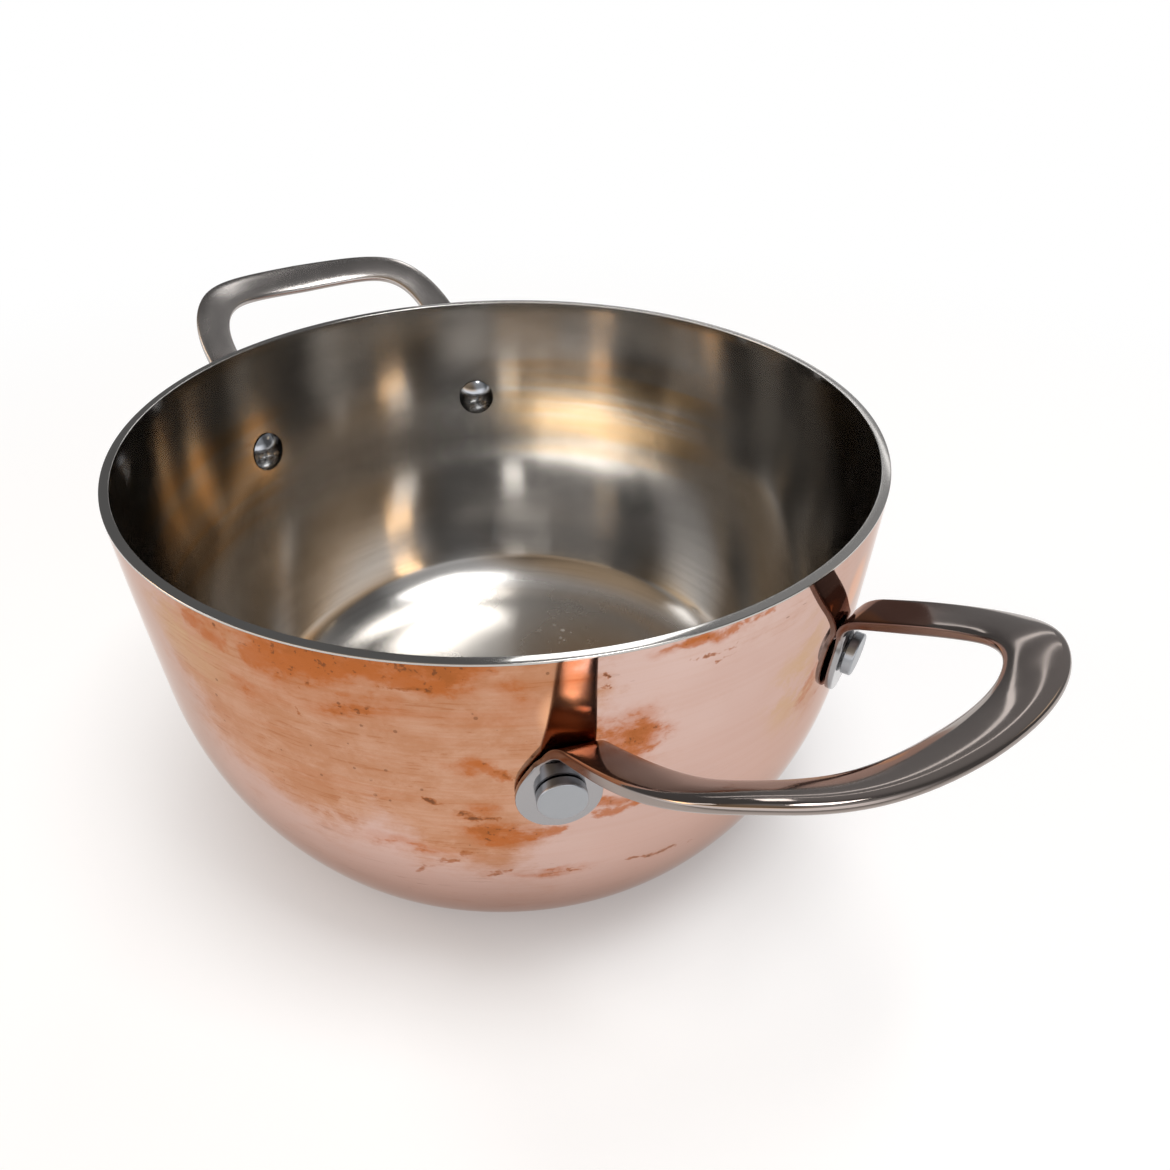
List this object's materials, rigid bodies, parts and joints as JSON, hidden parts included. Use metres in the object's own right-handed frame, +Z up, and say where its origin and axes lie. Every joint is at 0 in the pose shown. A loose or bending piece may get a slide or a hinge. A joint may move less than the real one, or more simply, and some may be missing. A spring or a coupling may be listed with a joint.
{
  "type": "two-handled cooking pot",
  "caption": "Deep rounded cooking pot with a polished copper outside, a steel lining and flat steel rim, carried by riveted steel loop handles on opposite sides.",
  "frame": {"origin": "middle of the base, on the floor, below the middle of the bounding box", "axes": "+Z is up along the pot's axis, +X points through the middle of the near handle, +Y completes the frame"},
  "size_m": [0.303, 0.2, 0.1125],
  "materials": {
    "copper": "polished copper with light tarnish",
    "core": "rolled sheet, bonded between the other layers",
    "lining": "satin to bright stainless steel",
    "handle_steel": "polished stainless steel",
    "rivet_steel": "satin stainless steel"
  },
  "bodies": {
    "root": {"copper_shell": "copper", "aluminium_core": "core", "steel_liner": "lining", "front_handle": "handle_steel", "rear_handle": "handle_steel", "front_rivet_left": "rivet_steel", "front_rivet_right": "rivet_steel", "rear_rivet_left": "rivet_steel", "rear_rivet_right": "rivet_steel"}
  },
  "joints": []
}
